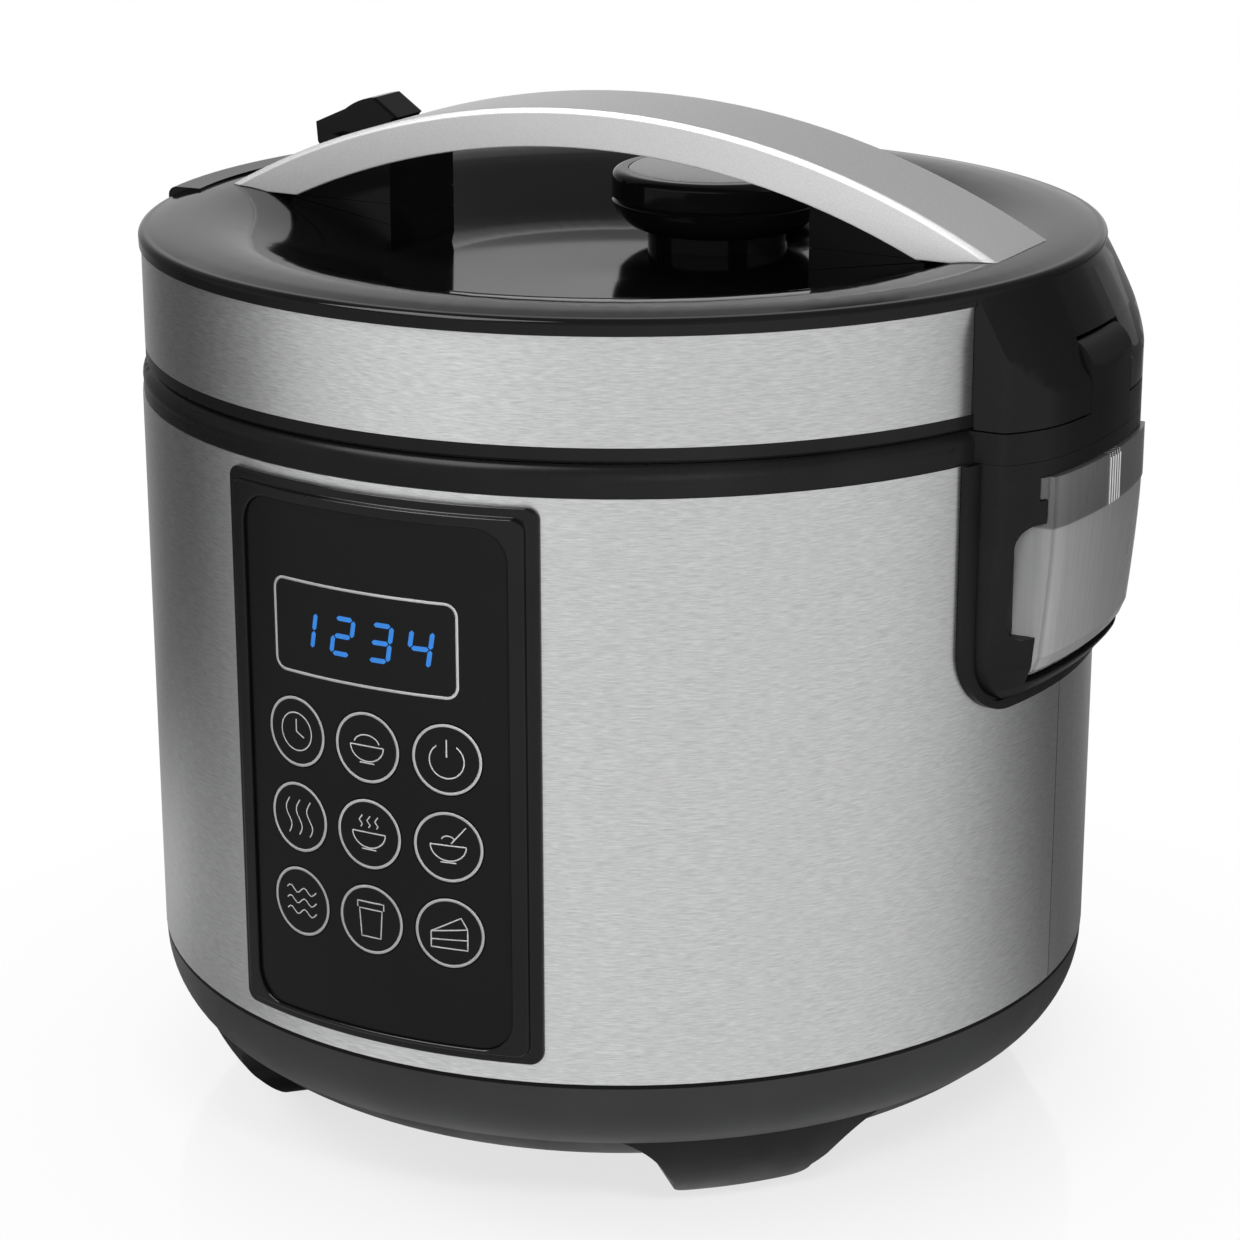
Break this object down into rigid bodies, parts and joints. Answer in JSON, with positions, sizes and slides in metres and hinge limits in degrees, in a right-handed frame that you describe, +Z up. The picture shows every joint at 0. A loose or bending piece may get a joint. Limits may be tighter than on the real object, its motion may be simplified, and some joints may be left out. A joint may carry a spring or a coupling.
{
  "type": "digital yogurt maker",
  "caption": "Round countertop yogurt maker and cooker with steel body, dished black lid, arched handle, curved control panel, steam vent and dew cup.",
  "frame": {"origin": "under the middle of the whole part, on the surface that its foot pads stand on", "axes": "+Z up; the control panel faces -Y; the lid's hinge and the dew cup are at +X, the latch at -X, the power inlet at +Y"},
  "size_m": [0.2636, 0.2547, 0.2609],
  "materials": {
    "steel": "brushed round the body",
    "base_grey": "satin",
    "cover_black": "fine matt",
    "foot_rubber": "matt",
    "lid_black": "high gloss",
    "trim_black": "satin gloss",
    "silver_paint": "silver paint",
    "cup_smoke": "clear smoke",
    "face_black": "glossy film",
    "display_black": "matt",
    "board_green": "solder mask",
    "pot_coat": "dark non-stick coat",
    "plate_metal": "turned",
    "liner_metal": "zinc coat",
    "inner_lid_metal": "satin",
    "seal_rubber": "silicone",
    "pin_steel": "ground",
    "inlet_black": "satin"
  },
  "bodies": {
    "base": {"base_ring": "base_grey", "bottom_cover": "cover_black", "foot_pad_1": "foot_rubber", "foot_pad_2": "foot_rubber", "foot_pad_3": "foot_rubber", "foot_pad_4": "foot_rubber", "panel_bezel": "lid_black", "panel_film": "face_black", "control_board": "board_green", "display_module": "display_black", "hinge_housing": "trim_black", "upper_rim": "trim_black", "hinge_pin": "pin_steel", "power_inlet": "inlet_black", "steel_wrapper": "steel", "inner_liner": "liner_metal", "heating_plate": "plate_metal", "inner_pot": "pot_coat"},
    "lid": {"lid_top": "lid_black", "lid_band": "steel", "lid_lower_ring": "trim_black", "inner_lid": "inner_lid_metal", "lid_gasket": "seal_rubber", "handle_shell": "silver_paint", "handle_core": "lid_black", "handle_spacer_left": "trim_black", "handle_spacer_right": "trim_black", "vent_seat": "trim_black"},
    "lever": {"release_lever": "lid_black"},
    "latch": {"latch_bolt": "trim_black"},
    "vent": {"vent_cap": "lid_black", "vent_disc": "silver_paint"},
    "cup": {"dew_cup": "cup_smoke"},
    "sensor": {"temperature_sensor": "plate_metal"},
    "key1": {"key_1": "face_black"},
    "key2": {"key_2": "face_black"},
    "key3": {"key_3": "face_black"},
    "key4": {"key_4": "face_black"},
    "key5": {"key_5": "face_black"},
    "key6": {"key_6": "face_black"},
    "key7": {"key_7": "face_black"},
    "key8": {"key_8": "face_black"},
    "key9": {"key_9": "face_black"}
  },
  "joints": [
    {"name": "lid_hinge", "type": "hinge", "parent": "base", "child": "lid", "pos_m": [0.12707, 0.00085, 0.201], "axis": [0, 1, 0], "range_deg": [0, 90]},
    {"name": "lever_pivot", "type": "hinge", "parent": "lid", "child": "lever", "pos_m": [-0.10673, 0.02885, 0.2374], "axis": [0, 1, 0], "range_deg": [0, 12], "stiffness_Nm_per_rad": 0.05, "springref_deg": -5.73},
    {"name": "latch_slide", "type": "slide", "parent": "lid", "child": "latch", "axis": [1, 0, 0], "range_m": [0, 0.0025]},
    {"name": "vent_lift", "type": "slide", "parent": "lid", "child": "vent", "axis": [0, 0, 1], "range_m": [0, 0.03]},
    {"name": "cup_pull", "type": "slide", "parent": "base", "child": "cup", "axis": [1, 0, 0], "range_m": [0, 0.045]},
    {"name": "sensor_press", "type": "slide", "parent": "base", "child": "sensor", "axis": [0, 0, -1], "range_m": [0, 0.002], "stiffness_N_per_m": 300, "springref_m": -0.002},
    {"name": "key_press_1", "type": "slide", "parent": "base", "child": "key1", "axis": [0.1658, 0.9862, 0], "range_m": [0, 0.0005], "stiffness_N_per_m": 200, "springref_m": -0.0005},
    {"name": "key_press_2", "type": "slide", "parent": "base", "child": "key2", "axis": [0, 1, 0], "range_m": [0, 0.0005], "stiffness_N_per_m": 200, "springref_m": -0.0005},
    {"name": "key_press_3", "type": "slide", "parent": "base", "child": "key3", "axis": [-0.1658, 0.9862, 0], "range_m": [0, 0.0005], "stiffness_N_per_m": 200, "springref_m": -0.0005},
    {"name": "key_press_4", "type": "slide", "parent": "base", "child": "key4", "axis": [0.1658, 0.9862, 0], "range_m": [0, 0.0005], "stiffness_N_per_m": 200, "springref_m": -0.0005},
    {"name": "key_press_5", "type": "slide", "parent": "base", "child": "key5", "axis": [0, 1, 0], "range_m": [0, 0.0005], "stiffness_N_per_m": 200, "springref_m": -0.0005},
    {"name": "key_press_6", "type": "slide", "parent": "base", "child": "key6", "axis": [-0.1658, 0.9862, 0], "range_m": [0, 0.0005], "stiffness_N_per_m": 200, "springref_m": -0.0005},
    {"name": "key_press_7", "type": "slide", "parent": "base", "child": "key7", "axis": [0.1658, 0.9862, 0], "range_m": [0, 0.0005], "stiffness_N_per_m": 200, "springref_m": -0.0005},
    {"name": "key_press_8", "type": "slide", "parent": "base", "child": "key8", "axis": [0, 1, 0], "range_m": [0, 0.0005], "stiffness_N_per_m": 200, "springref_m": -0.0005},
    {"name": "key_press_9", "type": "slide", "parent": "base", "child": "key9", "axis": [-0.1658, 0.9862, 0], "range_m": [0, 0.0005], "stiffness_N_per_m": 200, "springref_m": -0.0005}
  ],
  "couplings": [
    {"joint": "latch_slide", "follows": "lever_pivot", "m_per_rad": 0.011937}
  ]
}
